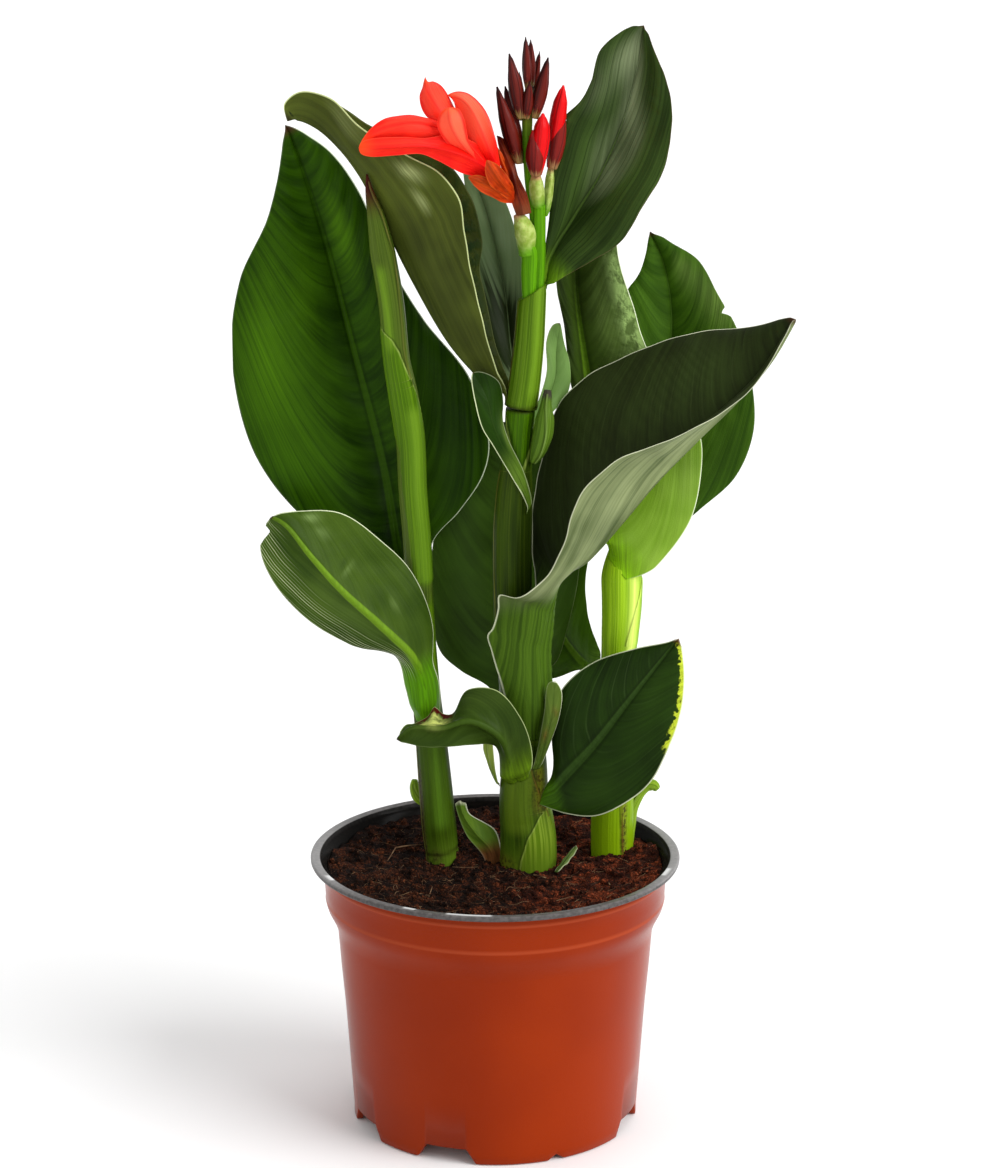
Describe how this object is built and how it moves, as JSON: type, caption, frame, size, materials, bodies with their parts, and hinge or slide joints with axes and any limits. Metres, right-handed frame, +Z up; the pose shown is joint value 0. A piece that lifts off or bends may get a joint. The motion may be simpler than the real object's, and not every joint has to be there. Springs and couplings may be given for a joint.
{
  "type": "potted canna lily plant",
  "caption": "Canna lily in a round nursery pot: leafy shoots with broad pointed leaves, one carrying an open orange-red flower and dark pointed buds.",
  "frame": {"origin": "bottom centre of the whole plant's box, on the plane the pot's feet rest on", "axes": "+Z up along the pot's axis, -Y towards the front, +X to the right"},
  "size_m": [0.2836, 0.19, 0.5654],
  "materials": {
    "pot": "satin",
    "soil": "matte",
    "stem": "satin",
    "sheath": "satin",
    "dark_leaf": "satin",
    "mid_leaf": "satin",
    "light_leaf": "satin",
    "petal": "satin",
    "sepal": "satin",
    "bud": "satin",
    "ovary": "matte",
    "dry": "matte"
  },
  "bodies": {
    "root": {"pot": "pot", "soil": "soil", "stem_left": "stem", "stem_middle": "stem", "stem_upper": "sheath", "stem_right": "stem", "leaf_spear": "light_leaf", "leaf_left_large": "mid_leaf", "leaf_left_small": "mid_leaf", "leaf_low_left": "mid_leaf", "leaf_trough": "dark_leaf", "leaf_low_right": "dark_leaf", "leaf_behind": "dark_leaf", "leaf_between": "mid_leaf", "leaf_arching": "mid_leaf", "leaf_behind_flower": "light_leaf", "leaf_bract": "mid_leaf", "leaf_node": "light_leaf", "leaf_light": "light_leaf", "leaf_back_right": "mid_leaf", "leaf_upper_right": "dark_leaf", "sheath_lobe": "sheath", "sheath_curl": "dry", "cut_sheath": "sheath", "bud_node": "stem", "knob_left": "sheath", "stub_right": "sheath", "spike_axis": "stem", "ovary_flower": "ovary", "ovary_bud_front": "ovary", "ovary_bud_back": "ovary", "bud_top_front": "bud", "bud_top_back": "bud", "bud_upper_left": "bud", "bud_upper_right": "bud", "bud_upper_back": "bud", "bud_middle": "bud", "bud_back_left": "bud", "bud_left_front": "bud", "bud_left_back": "bud", "bud_red_front": "petal", "bud_red_back": "petal", "bract_red_front": "bud", "bract_red_back": "bud", "flower_petals": "petal", "flower_sepals": "sepal", "flower_bract": "bud", "leaf_scrap": "light_leaf"}
  },
  "joints": []
}
